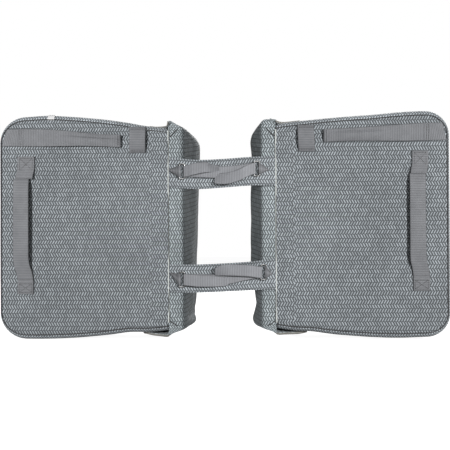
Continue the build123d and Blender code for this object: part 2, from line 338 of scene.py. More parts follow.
def bend(piece, start, end):
    """Bakes the piece's placement into its mesh; the two places in millimetres are turned into metres
    but not used.
    """
    [c * MM for c in start]
    [c * MM for c in end]
    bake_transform(piece)


def running_length(path):
    """Distance along a path at each of its points."""
    return np.concatenate([[0], np.cumsum(np.linalg.norm(np.diff(path, axis=0), axis=1))])


def unit(vectors):
    return vectors / np.linalg.norm(vectors, axis=1)[:, None]


def edit_mesh(piece, action):
    """Runs an action on the piece's mesh in its editable form."""
    bm = bmesh.new()
    bm.from_mesh(piece.data)
    action(bm)
    bm.to_mesh(piece.data)
    bm.free()


def fix_normals(piece):
    edit_mesh(piece, lambda bm: bmesh.ops.recalc_face_normals(bm, faces=bm.faces))


def make_object(name, points, faces, cloth, material):
    """A mesh piece from millimetre points, with its cloth place kept as a map in metres."""
    mesh = bpy.data.meshes.new(name)
    mesh.from_pydata([tuple(c * MM for c in p) for p in points], [], faces)
    layer = mesh.uv_layers.new(name="cloth")
    for loop in mesh.loops:
        a, b = cloth[loop.vertex_index]
        layer.data[loop.index].uv = (a * MM, b * MM)
    mesh.polygons.foreach_set("use_smooth", [True] * len(mesh.polygons))
    mesh.materials.append(MATERIALS[material])
    piece = bpy.data.objects.new(name, mesh)
    bpy.context.scene.collection.objects.link(piece)
    return piece


def grid_faces(rows, columns, flip=False, close=False):
    faces = []
    for r in range(rows - 1):
        for c in range(columns if close else columns - 1):
            d = (c + 1) % columns
            face = (r * columns + c, r * columns + d, (r + 1) * columns + d, (r + 1) * columns + c)
            faces.append(face[::-1] if flip else face)
    return faces


def sheet(name, rows, material="shell", flip=False, thickness=CLOTH):
    """Cloth sheet from rows of (point, place on the cloth).  It is thickened behind its face."""
    points, cloth = zip(*(spot for row in rows for spot in row))
    faces = grid_faces(len(rows), len(rows[0]), flip)
    piece = make_object(name, points, faces, cloth, material)
    edit_mesh(piece, lambda bm: bmesh.ops.remove_doubles(bm, verts=bm.verts, dist=0.05 * MM))
    solid = piece.modifiers.new("thickness", "SOLIDIFY")
    solid.thickness = thickness * MM
    solid.offset = -1
    solid.use_even_offset = False
    return piece


def apply_modifiers(piece):
    """Bakes the piece's modifiers into its mesh."""
    depsgraph = bpy.context.evaluated_depsgraph_get()
    mesh = bpy.data.meshes.new_from_object(piece.evaluated_get(depsgraph))
    piece.modifiers.clear()
    piece.data = mesh


def resample(points, count):
    """count points evenly spaced along a polyline smoothed by a Catmull-Rom curve."""
    pts = np.array(points, float)
    padded = np.vstack([2 * pts[0] - pts[1], pts, 2 * pts[-1] - pts[-2]])
    fine = []
    for i in range(1, len(padded) - 2):
        p0, p1, p2, p3 = padded[i - 1:i + 3]
        for t in np.linspace(0, 1, 24, endpoint=False):
            fine.append(0.5 * (2 * p1 + (p2 - p0) * t + (2 * p0 - 5 * p1 + 4 * p2 - p3) * t * t
                               + (3 * p1 - p0 - 3 * p2 + p3) * t ** 3))
    fine = np.array(fine + [pts[-1]])
    length = running_length(fine)
    at = np.linspace(0, length[-1], count)
    return np.stack([np.interp(at, length, fine[:, k]) for k in range(fine.shape[1])], axis=1)


RIBBON_ACROSS = (0.0, 0.03, 0.09, 0.16, 0.22, 0.26, 0.3, 0.34, 0.4, 0.5, 0.6, 0.7, 0.8, 0.91, 0.97, 1.0)
RIBBON_FULLNESS = (0.35, 0.8) + (1.0,) * 12 + (0.8, 0.35)


def ribbon(name, edges, thickness=1.5, material="webbing", count=48, cup=(0, 0),
           crease=(0, 0)):
    """A closed strip of webbing between two edge lines, with soft selvedges and cut ends.

    cup lifts the strip's two edges over its middle, and crease raises a narrow fold beside
    the first edge, both given along the strip in millimetres.
    """
    a, b = (resample(edge, count) for edge in edges)
    run = np.linspace(0, 1, count)
    cups, creases = (np.interp(run, np.linspace(0, 1, len(rise)), rise) for rise in (cup, crease))
    middle = (a + b) / 2
    normal = unit(np.cross(b - a, np.gradient(middle, axis=0)))
    length = running_length(middle)
    width = np.linalg.norm(b[0] - a[0])
    sections = list(zip(RIBBON_ACROSS, RIBBON_FULLNESS))
    points, cloth = [], []
    for i in range(count):
        for sign, order in ((1, sections), (-1, sections[::-1])):
            for share, full in order:
                raised = cups[i] * ((2 * share - 1) ** 2 - 0.4) + sign * full * thickness / 2
                raised += creases[i] * math.exp(-((share - 0.28) / 0.05) ** 2)
                points.append(a[i] + (b[i] - a[i]) * share + normal[i] * raised)
                cloth.append((length[i], min(share, 1 - share) * width))
    columns = 2 * len(sections)
    faces = grid_faces(count, columns, close=True)
    for base in (0, (count - 1) * columns):
        for k in range(len(sections) - 1):
            cap = (base + k, base + k + 1, base + columns - 2 - k, base + columns - 1 - k)
            faces.append(cap if base else cap[::-1])
    piece = make_object(name, points, faces, cloth, material)
    fix_normals(piece)
    return piece


def tube_faces(rings, sides):
    """Faces of a tube made of rings of points, closed at both ends."""
    last = rings * sides - 1
    return grid_faces(rings, sides, close=True) + [tuple(range(sides)),
                                                   tuple(last - k for k in range(sides))]


def cord(name, path, radius):
    """A round cord of thread along a path."""
    path = np.array(path, float)
    sides = 8
    points, cloth = [], []
    for place, along in zip(path, unit(np.gradient(path, axis=0))):
        across = np.cross(along, (0.0, 1.0, 0.0))
        across /= max(np.linalg.norm(across), 1e-6)
        up = np.cross(across, along)
        for k in range(sides):
            angle = 2 * math.pi * k / sides
            points.append(place + (across * math.cos(angle) + up * math.sin(angle)) * radius)
            cloth.append((len(points) / sides, k))
    piece = make_object(name, points, tube_faces(len(path), sides), cloth, "thread")
    fix_normals(piece)
    return piece


def stitches(name, lines, normal=(0, -1, 0), pitch=3.4, size=(2.5, 0.75, 0.5)):
    """Rows of short thread stitches along polylines, each a small rounded bead."""
    points, faces, cloth = [], [], []
    up = np.array(normal, float)
    bead = grid_faces(4, 6, close=True) + [tuple(range(6))[::-1], tuple(range(18, 24))]
    for line in lines:
        line = np.array(line, float)
        count = max(2, int(running_length(line)[-1] / pitch) + 1)
        path = np.stack([np.interp(np.linspace(0, 1, count), np.linspace(0, 1, len(line)), line[:, k])
                         for k in range(3)], axis=1)
        for start, stop in zip(path[:-1], path[1:]):
            along = (stop - start) / max(np.linalg.norm(stop - start), 1e-6)
            side = np.cross(up, along)
            faces += [tuple(len(points) + i for i in face) for face in bead]
            for shift, scale in ((-1, 0.35), (-0.6, 1.0), (0.6, 1.0), (1, 0.35)):
                for k in range(6):
                    angle = k * math.pi / 3
                    points.append((start + stop) / 2 + along * shift * size[0] / 2
                                  + side * math.cos(angle) * scale * size[1] / 2
                                  + up * math.sin(angle) * scale * size[2])
                    cloth.append((shift * size[0] / 2, k * 0.3))
    return make_object(name, points, faces, cloth, "thread")


def x_box(a0, a1, b0, b1):
    """Stitch lines of a box with a cross in it, as (a, b) pairs."""
    corners = [(a0, b0), (a1, b0), (a1, b1), (a0, b1), (a0, b0)]
    return [*zip(corners[:-1], corners[1:]), (corners[0], corners[2]), (corners[3], corners[1])]


# ---------------------------------------------------------------- shape of a bag

EDGE_TRIM = {               # how each seam's outline differs from the plain bow, at places along u
    (-1, 1): ((91, -3.5), (131, -5.5), (157, -3.7), (209, -2), (261, -0.7), (300, 0.5), (335, -1.5)),
    (-1, -1): ((91, 6), (125, 3.5), (158, -1.8), (210, -0.7), (300, 0)),
    (1, 1): ((91, 2), (115, 1.2), (149, -0.9), (200, -2.4), (250, -3.3), (300, -0.6), (335, 1)),
    (1, -1): ((91, 2.5), (127, 1.8), (147, -1.7), (198, -1.1), (248, -1.5), (298, -1.7), (335, -3)),
}
TRIM_RUN = np.arange(60.0, 400.0, 1.0)
TRIM_LINES = {}
for edge_key, knots in EDGE_TRIM.items():
    line = np.interp(TRIM_RUN, [k[0] for k in knots], [k[1] for k in knots])
    TRIM_LINES[edge_key] = np.convolve(np.pad(line, 12, mode="edge"), np.ones(25) / 25, "valid")


def side_half(side, z, u):
    """Half width of the bag's outline at u, on the side of z, before its round base corners."""
    trim = np.interp(u, TRIM_RUN, TRIM_LINES[(side, 1 if z >= 0 else -1)])
    return HALF_AT_SEAM + SIDE_SLOPE * (u - SEAM) + SIDE_BOW * (u - SEAM) ** 2 + trim


def outline_half(side, z, u, inset):
    """Half width of the outline drawn in by inset, corners included."""
    corner_u = END - CORNER[side]
    if u <= corner_u:
        return side_half(side, z, u) - inset
    share = (u - corner_u) / (CORNER[side] - base_inset(inset))
    straight = side_half(side, z, corner_u) - CORNER[side]
    return straight + (CORNER[side] - inset) * math.sqrt(max(0.0, 1 - share * share))


def base_inset(inset):
    return inset * BASE_INSET / SEAM_INSET


def rim_u(side, z):
    """Where the panel's base seam runs at z, round the base corners too."""
    corner_u = END - CORNER[side]
    past = abs(z) - (side_half(side, z, corner_u) - CORNER[side])
    share = min(1.0, max(0.0, past / (CORNER[side] - SEAM_INSET)))
    return corner_u + (CORNER[side] - BASE_INSET) * math.sqrt(1 - share * share)


def soft_noise(x, y, z, scale, seed=0.0):
    return noise.noise(Vector((x / scale + seed, y / scale, z / scale)))


def panel_lift(side, u, z):
    """How far the back panel's middle stands proud of its seams, towards the carrier side."""
    edge = max(0.0, outline_half(side, z, u, SEAM_INSET) - abs(z))
    base = max(0.0, END - BASE_INSET - u)
    rise = (1 - math.exp(-edge / 26)) * (1 - math.exp(-base / 26))
    wave = 0.9 * soft_noise(side * u, 0, z, 70, 3.1 * side) + 0.35 * soft_noise(side * u, 5, z, 28)
    ease = 1 - math.exp(-(u - SEAM) / 40)
    return rise * (1.6 + wave) * (0.35 + 0.65 * ease)


def outer_lift(side, u, z):
    """The outer panel bellies out a little, but stays under the closed flap."""
    return 0.75 * panel_lift(side, u, z)


def panel_y(side, u, z):
    return PANEL_Y - panel_lift(side, u, z)


def panel_samples(side):
    """u values for a panel grid, close together round the base corners and at the seams."""
    corner_u = END - CORNER[side]
    reach = CORNER[side] - base_inset(SEAM_INSET)
    turn = [corner_u + reach * math.sin(a) for a in np.linspace(0, math.pi / 2, 22)[1:]]
    return [*np.linspace(SEAM + 0.3, corner_u, 62), *turn]


EDGE_STEPS = (0.0, 0.8, 1.8, 3.5, 7.0, 13.0)


def across_samples(half_aft, half_fore):
    """z values over a panel's width, with extra ones beside its two seams."""
    return [*(-(half_aft - step) for step in EDGE_STEPS),
            *np.linspace(-(half_aft - 20), half_fore - 20, 44),
            *(half_fore - step for step in EDGE_STEPS[::-1])]


def make_panel(name, side, part, face_y, out, lift):
    """Back or outer panel: a padded sheet whose rim dips into the seam."""
    rows = []
    for u in panel_samples(side):
        halves = {sign: outline_half(side, sign, u, SEAM_INSET) for sign in (-1, 1)}
        row = []
        for z in across_samples(halves[-1], halves[1]):
            rim = min(halves[1 if z >= 0 else -1] - abs(z), END - BASE_INSET - u)
            dip = 1.5 * math.exp(-max(rim, 0.0) / 1.1)
            row.append(((side * u, face_y + out * (lift(side, u, z) - dip), z), (side * u, z)))
        rows.append(row)
    piece = sheet(f"{name}_{part}_cloth", rows, flip=(side > 0) != (out > 0))
    attach(piece, f"{name}_bag", f"{name}_{part}")


def outward_of(path):
    """Unit directions square to a path in the (u, z) plane, away from the bag's middle."""
    tangent = np.gradient(path, axis=0)
    return unit(np.stack([-tangent[:, 1], tangent[:, 0]], axis=1))


def outline_path(side, inset=0.0):
    """Places round the bag's outline from the fore to the aft end of the bridge seam."""
    corner_u = END - CORNER[side]
    reach_u, reach_z = CORNER[side] - base_inset(inset), CORNER[side] - inset
    points = []
    for sign in (1, -1):
        centre = side_half(side, sign, corner_u) - CORNER[side]
        half = [(u, sign * (side_half(side, sign, u) - inset))
                for u in np.linspace(SEAM + 0.3, corner_u, 90)]
        half += [(corner_u + reach_u * math.sin(a), sign * (centre + reach_z * math.cos(a)))
                 for a in np.linspace(0, math.pi / 2, 16)[1:]]
        half += [(corner_u + reach_u, z) for z in np.linspace(sign * centre, 0, 24)[1:]]
        points = points + half[-2::-1] if points else half
    return np.array(points)


def gusset_profile():
    """(depth, outward offset) pairs from the back panel's seam to the outer panel's seam."""
    keys = [(PANEL_Y + 1.2, -SEAM_INSET), (PANEL_Y + 0.1, -SEAM_INSET + 1.0),
            (PANEL_Y + 1.6, -1.8), (PANEL_Y + 5.5, 1.2), (PANEL_Y + 14, 2.6), (45, 3.4), (80, 3.6),
            (115, 3.0), (OUTER_Y - 13, 1.8), (OUTER_Y - 5, 0.2), (OUTER_Y - 1.4, -2.2),
            (OUTER_Y - 0.2, -SEAM_INSET + 1.0), (OUTER_Y - 1.3, -SEAM_INSET)]
    return resample(keys, 44)


def make_gusset(name, side):
    """The side and base wall, one soft sheet that runs round the bag between the panels."""
    path = outline_path(side)
    profile = gusset_profile()
    depth = running_length(profile)
    rows = []
    for (u, z), (nu, nz), run in zip(path, outward_of(path), running_length(path)):
        row = []
        inset_here = math.hypot(nu * BASE_INSET / SEAM_INSET, nz)
        for (y, offset), across in zip(profile, depth):
            middle = math.sin(math.pi * min(1, max(0, (y - PANEL_Y) / (OUTER_Y - PANEL_Y))))
            ripple = 1.5 * soft_noise(side * u, y, z, 60, 7.0) + 0.6 * soft_noise(u, y, z, 22, 1.0)
            out = (offset * inset_here if offset < 0 else offset) + ripple * middle
            row.append(((side * (u + nu * out), y, z + nz * out), (side * run, across + 3.0)))
        rows.append(row)
    piece = sheet(f"{name}_gusset_cloth", rows, flip=side > 0)
    attach(piece, f"{name}_bag", f"{name}_fore_gusset", f"{name}_aft_gusset", f"{name}_base_panel")
    # A dark cord along each panel seam: painted shade for the shadow in the seam's groove.
    for label, y in (("back", PANEL_Y - 0.5), ("outer", OUTER_Y + 0.1)):
        line = [(side * u, y, z) for u, z in outline_path(side, SEAM_INSET)]
        attach(cord(f"{name}_{label}_seam_welt", line, 0.8), f"{name}_bag")


def make_liner(name, side):
    """Lining bag inside the shell, open at the mouth."""
    y_low, y_high = low(f"{name}_liner").y, high(f"{name}_liner").y
    y_mid = (y_low + y_high) / 2
    squareness = 2 / 9          # how square its section is: 1 is an ellipse, 0 a rectangle
    section = 64
    us = np.linspace(SEAM + 1, END - 12, 40)
    rows = []
    for u in us:
        half = min(outline_half(side, sign, u, 7.0) for sign in (-1, 1))
        row = []
        for angle in (2 * math.pi * k / section for k in range(section)):
            c, s = math.cos(angle), math.sin(angle)
            z = half * math.copysign(abs(c) ** squareness, c)
            y = y_mid + (y_high - y_low) / 2 * math.copysign(abs(s) ** squareness, s)
            slack = 0.8 * soft_noise(u, y, z, 45, 2.0)
            row.append(((side * (u + slack), y, z), (side * u, half * angle * 0.8)))
        rows.append(row)
    x_end = side * (us[-1] + 3)
    for size in (0.5, 0.0):     # the closed end, drawn in towards its middle
        rows.append([((x_end, y_mid + (y - y_mid) * size, z * size), place)
                     for (_, y, z), place in rows[len(us) - 1]])
    rows = [row + row[:1] for row in rows]
    piece = sheet(f"{name}_lining", rows, "lining", side > 0, 0.8)
    attach(piece, f"{name}_bag", f"{name}_liner")


# ---------------------------------------------------------------- seams

def make_seam(name, side):
    """Facing strip, its stitching and the pale piping along the top of the back panel."""
    node = f"{name}_seam_facing"
    inner, outer = SEAM + 0.4, SEAM + 31
    half = high(node).z
    zs = [-half, -half + 1.2, *np.linspace(-half + 4, half - 4, 90), half - 1.2, half]
    rows = []
    for u in [inner, inner + 1, *np.linspace(inner + 3, outer - 2, 10), outer - 0.8, outer]:
        row = []
        for z in zs:
            edge = min(outer - u, half - abs(z))
            proud = 1.3 * (1 - math.exp(-max(edge, 0.0) / 0.7)) - 0.25
            row.append(((side * u, panel_y(side, u, z) - proud, z), (side * (u + 2.6), z + 3.3)))
        rows.append(row)
    piece = sheet(f"{node}_cloth", rows, flip=side > 0, thickness=1.0)
    attach(piece, f"{name}_bag", node)

    line = [(side * (outer - 2.2), panel_y(side, outer - 2, z) - 1.15, z)
            for z in np.linspace(-half + 3, half - 3, 60)]
    attach(stitches(f"{name}_facing_stitches", [line], size=(2.3, 0.6, 0.3)), f"{name}_bag")
    make_piping(name, side)


def make_piping(name, side):
    """Pale piping along the seam, sunk where the middle and the bands' outer ends hide it."""
    node = f"{name}_seam_piping"
    reach = high(node).z
    zs = np.linspace(-reach, reach, 140)
    sunk = 1.0 if side < 0 else 0.45
    depth = [PANEL_Y - 1.1 + 2.6 * (sunk if abs(z) < 50 or 118 < abs(z) < 140 else 0.0) for z in zs]
    depth = np.convolve(np.pad(depth, 4, mode="edge"), np.ones(9) / 9, "valid")
    x, radius, sides = side * (SEAM + 0.1), 1.25, 8
    points, cloth = [], []
    for y, z in zip(depth, zs):
        for k in range(sides):
            angle = 2 * math.pi * k / sides
            points.append((x + radius * math.cos(angle), y + radius * math.sin(angle), z))
            cloth.append((z, k))
    faces = tube_faces(len(zs), sides)
    piping = make_object(f"{name}_piping_cord", points, faces, cloth, "piping")
    attach(piping, f"{name}_bag", node)


# ---------------------------------------------------------------- lid hood and flap

# The hood seen square on, from the skirt's free edge round to the crown's ridge.  The fore
# corner is a plain round shoulder.  The aft corner is pinched and its skirt stands off.
HOOD_PLAN = {
    -1: ((132, 177), (118, 173), (100, 170), (93, 170.5), (90, 173.5), (86.5, 178.3), (83.5, 178),
         (76, 173), (66, 168), (59, 163), (53, 158), (48.4, 152.5), (45, 146), (43.6, 139), (44.2, 120),
         (45.6, 92), (47.1, 64), (49.1, 3), (52, -52), (52, -90), (52.2, -115), (52.6, -127),
         (54.2, -137), (56.4, -147), (57.4, -153), (55.2, -160.5), (55.2, -166), (58, -170.8),
         (64, -174), (77, -178.6), (87, -182.6), (94, -184.6), (108, -183.7), (120, -182.6), (128, -181),
         (136, -179.5)),
    1: ((132, 179), (116, 176), (104, 174), (95, 174.6), (85.1, 177.8), (75, 180.2), (71, 179.6),
        (66, 176), (60.5, 170.2), (55, 164), (50.2, 157), (47.8, 149), (47.4, 141), (48.6, 123),
        (47.6, 94), (46.7, 64), (48.1, 2), (49.6, -52), (51.4, -85), (53, -110), (54.6, -122),
        (56.2, -132), (52.8, -145.5), (49.4, -157), (49.6, -163), (53.5, -168.6), (58, -170.3),
        (66, -172), (81, -177), (93, -181.2), (105, -181.2), (125, -181), (134, -180), (142, -178.4)),
}
CROWN_BEND = 28.0           # the cloth turns from the carrier side to the crown this far from the seam
CROWN_SKEW = 0.13           # and its rows run off square from there
CROWN_TRIM = {              # how the crown's inner side differs from its plan, at heights z
    -1: ((-182, 0), (-166, 1.5), (-155, 3), (-125, 3), (-100, 2.2), (110, 2.3), (150, 1.2), (172, 0)),
    1: ((-182, 0), (-160, -0.8), (-110, -1.2), (-60, -4.8), (-20, -4.4), (12, -2.4), (45, -1.6),
        (130, -1.8), (158, -2.6), (172, -0.6)),
}
HEM_SLOPE = {(-1, 1): 2.0, (-1, -1): 0.32, (1, 1): 0.9, (1, -1): 0.32}


DARTS = {"fore": ((88.5, 152), (75, 165.5)), "aft": ((88.5, -161), (77, -168))}
PROFILE = ((SEAM, 3.1), (84, 2.6), (75, 2.6), (69, 3.2), (65.6, 6), (63.6, 11), (60.5, 21), (56.5, 34),
           (52, 49), (47.5, 65), (44, 82), (43, 104), (45, 127), (49, 141), (55, 149.5), (ROOF_U, 153.2))


def hood_plan(side):
    """(u, z) and running length round the hood from the fore skirt over the crown to the aft skirt."""
    plan = resample(HOOD_PLAN[side], 230)
    length = running_length(plan)
    return plan, length - np.interp(0.0, -plan[:, 1], length)


def smooth_step(x):
    x = min(1.0, max(0.0, x))
    return x * x * (3 - 2 * x)


def soft_max(a, b, blend_width=5.0):
    gap = max(blend_width - abs(a - b), 0.0) / blend_width
    return max(a, b) + gap * gap * blend_width / 4


def hood_point(side, u_plan, z_plan, u_ridge, y):
    """Place on the hood for one column of its plan and one row of its profile."""
    sign = 1 if z_plan >= 0 else -1
    skirt = max(0.0, u_plan - SEAM)
    hem = 3.2 + HEM_SLOPE[(side, sign)] * skirt if skirt > 0 else 0.0
    depth = max(y, hem)
    u = soft_max(u_ridge, u_plan)
    sag = 1.6 * soft_noise(side * u, y, z_plan, 55, 4.4 * side) + 0.6 * soft_noise(u, y, z_plan, 20, 2.2)
    weight = smooth_step((y - 6) / 30) * smooth_step((150 - y) / 20)
    du = sag * weight if u_plan < SEAM else 0.0
    hug = smooth_step((u_plan - 62) / 28)
    wall = side_half(side, z_plan, max(u_plan, SEAM)) + 4.8
    away = abs(z_plan) - wall
    trim = np.interp(z_plan, *zip(*CROWN_TRIM[side]))
    u += trim * smooth_step((y - 10) / 40) * (1 - smooth_step((u_plan - 60) / 22))
    z = abs(z_plan) - hug * away * (1 - math.exp(-(depth - hem) / 26))
    z += sag * weight * 0.8 * smooth_step((u_plan - 50) / 20)
    return side * (u - du), depth, sign * z


def lid_lip(side, corner):
    """The roof's turned edge, which runs in under the flap and its bound sides."""
    x, y, z = corner
    inner_z = min(abs(z), FLAP_HALF - 2.0)
    inner_u = max(abs(x), ROOF_U - 1.0)
    lip_y = FLAP_Y - 1.3
    u_step = abs(x) + 0.12 * (inner_u - abs(x))
    z_step = abs(z) + 0.12 * (inner_z - abs(z))
    return [(side * u_step, max(y, lip_y), math.copysign(z_step, z)),
            (side * inner_u, lip_y, math.copysign(inner_z, z))]


def make_hood(name, side):
    """The lid's hood, one sheet from the seam over the crown to the roof, with both skirts."""
    plan, plan_length = hood_plan(side)
    profile = resample(PROFILE, 84)
    rise_on_profile = running_length(profile)
    rows = []
    for (u_plan, z_plan), run in zip(plan, plan_length):
        row = [hood_point(side, u_plan, z_plan, u, y) for u, y in profile]
        lip = lid_lip(side, row[-1])
        reach = np.cumsum([math.dist(a, b) for a, b in zip([row[-1]] + lip[:-1], lip)])
        rises = [*rise_on_profile, *(rise_on_profile[-1] + reach)]
        rows.append([(place, (side * (rise + 2.0), run + CROWN_SKEW * max(0.0, rise - CROWN_BEND)))
                     for place, rise in zip(row + lip, rises)])
    piece = sheet(f"{name}_hood_cloth", rows, "lid", flip=side < 0)
    apply_modifiers(piece)
    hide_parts(f"{name}_lid_strip", f"{name}_lid_hood")
    on_lid_hinge(piece, side)

    for label, sign, columns in (("fore", 1, plan[:60]), ("aft", -1, plan[::-1][:60])):
        line = np.array([hood_point(side, u, z, SEAM, 0.0) for u, z in columns if u > SEAM - 4])
        edges = [line + np.array([0, -0.6, -sign * 0.4]), line + np.array([0, 3.4, sign * 1.9])]
        hem = ribbon(f"{name}_{label}_skirt_hem", edges, 2.2, "hem", count=70, cup=(0.6, 0.6))
        on_lid_hinge(hem, side)

    # A dark thread cord along each corner's dart: partly its seam, partly painted shade for the dart's
    # crease.
    for label, ((u0, z0), (u1, z1)) in DARTS.items():
        line = [(side * (u0 + (u1 - u0) * t), 2.2 - 0.9 * math.sin(math.pi * t), z0 + (z1 - z0) * t)
                for t in np.linspace(0, 1, 12)]
        on_lid_hinge(cord(f"{name}_{label}_dart", line, 0.8), side)


def on_lid_hinge(piece, side):
    """Cloth sewn at the seam: its placement is baked into its mesh."""
    bend(piece, (side * LID_HINGE_U, 3.5, 0), (side * LID_HINGE_U, 22, 0))


def on_flap_hinge(piece, side):
    """Cloth sewn to the roof: its placement is baked into its mesh."""
    bend(piece, (side * FLAP_ROOT, 0, 0), (side * (ROOF_U + 7), 0, 0))


def flap_half(u):
    """Half width of the flap at u, with its two round corners."""
    past = max(0.0, u - FLAP_END + FLAP_CORNER)
    return FLAP_HALF - FLAP_CORNER + math.sqrt(max(0.0, FLAP_CORNER ** 2 - past ** 2))


def make_flap(name, side):
    """The flap's cloth and its bound edge."""
    corner_u = FLAP_END - FLAP_CORNER
    run = [*np.linspace(FLAP_ROOT, corner_u, 50)]
    run += [corner_u + FLAP_CORNER * math.sin(a) for a in np.linspace(0, math.pi / 2, 14)[1:]]
    rows = []
    for u in run:
        half = flap_half(u)
        row = []
        for z in half * np.linspace(-1, 1, 61):
            edge = min(half - abs(z), FLAP_END - u)
            puff = 1.6 * (1 - math.exp(-max(edge, 0) / 14)) * min(1.0, (u - FLAP_ROOT) / 20)
            wave = 0.7 * soft_noise(u, 9, z, 60, side) * min(1.0, edge / 10)
            root_dip = 1.6 * math.exp(-(u - FLAP_ROOT) / 3)
            row.append(((side * u, FLAP_Y + LIFT + puff + wave - root_dip, z), (side * u, z + 1.7)))
        rows.append(row)
    flap = sheet(f"{name}_flap_cloth", rows, flip=side < 0)
    apply_modifiers(flap)
    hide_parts(f"{name}_flap")
    on_flap_hinge(flap, side)

    edge_path = [(u, flap_half(u)) for u in run[1:]]
    path = np.array(edge_path + [(u, -z) for u, z in edge_path[::-1]])
    points, cloth = [], []
    for (u, z), (nu, nz), at in zip(path, outward_of(path), running_length(path)):
        for k, (reach, up) in enumerate(BINDING):
            points.append((side * (u + nu * reach), FLAP_Y + LIFT + up - 1.0, z + nz * reach))
            cloth.append((at, k * 2.0))
    faces = grid_faces(len(path), len(BINDING), close=True)
    binding = make_object(f"{name}_flap_binding", points, faces, cloth, "binding")
    fix_normals(binding)
    on_flap_hinge(binding, side)


def make_flap_fittings(name, side):
    """What is sewn to the flap: reflective strip, pull tab and hook patches, and their loop patches."""
    body = f"{name}_flap"
    top = FLAP_Y + LIFT + 2.6
    u0, u1, _, z1 = spans(f"{name}_flap_reflector")
    edges = [[(side * u, top, z) for z in np.linspace(-z1, z1, 12)] for u in (u0, u1)]
    attach(ribbon(f"{name}_reflective_strip", edges, 0.8, "reflective"),
           body, f"{name}_flap_reflector")

    t0, t1, _, tz = spans(f"{name}_pull_tab")
    centre = ((t0, 0.6), (t0 + 10, 0.7), (t0 + 14, 0), (t1 - 6, -1.6), (t1, -0.6))
    edges = [[(side * u, top + rise, z) for u, rise in centre] for z in (-tz, tz)]
    attach(ribbon(f"{name}_pull_tab_webbing", edges, 1.6), body, f"{name}_pull_tab")
    lines = [[(side * u, top + 1.5, z) for u, z in line]
             for line in x_box(t0 + 2, t0 + 10, -tz + 3, tz - 3)]
    attach(stitches(f"{name}_pull_tab_stitches", lines, (0, 1, 0)), body)

    make_patches(name, side, "hook", body)
    make_patches(name, side, "loop", f"{name}_bag")


def make_patches(name, side, kind, body):
    """Two patches of hook tape under the flap, or of loop tape that follows the outer panel."""
    node = f"{name}_{kind}_patches"
    lo, hi = low(node), high(node)
    for label, sign in (("fore", 1), ("aft", -1)):
        middle = sign * (hi.z - PATCH_HALF)
        edges = [[], []]
        for z in np.linspace(middle - PATCH_HALF, middle + PATCH_HALF, 10):
            for edge, u in zip(edges, sorted((abs(lo.x), abs(hi.x)))):
                y = (lo.y + hi.y) / 2 if kind == "hook" else OUTER_Y + outer_lift(side, u, z) + 0.45
                edge.append((side * u, y, z))
        piece = ribbon(f"{name}_{kind}_patch_{label}", edges, 1.0, "hook_and_loop")
        attach(piece, body, node)


# ---------------------------------------------------------------- straps on the back panels

def on_panel(side, u, z, above):
    """Point above the back panel's surface, towards the carrier side."""
    return (side * u, panel_y(side, u, z) - above, z)


BEND_START, BEND_END = 10.0, 27.0   # a strap bends between these distances from its sewn end; passed to bend, which does not use them
STRAP_THREAD = {"pitch": 2.4, "size": (1.8, 0.95, 0.45)}
STAY_TIP = 172              # where the stay strap's free end lies
STAY_EDGES = {              # upper and lower edge of each stay strap, as (u, z)
    -1: (((376, 167.4), (337, 168.4), (294, 166.6), (265, 164), (242, 161), (208, 157.6), (172, 156.2)),
         ((376, 138.4), (337, 137.6), (294, 137), (265, 137.4), (237, 137.6), (208, 136.6),
          (172, 134.8))),
    1: (((376, 171), (340, 171.2), (300, 169), (268, 167), (240, 165), (205, 163.2), (172, 162)),
        ((376, 141.6), (340, 141), (300, 140.6), (268, 141), (240, 141.2), (205, 141), (172, 140.4))),
}


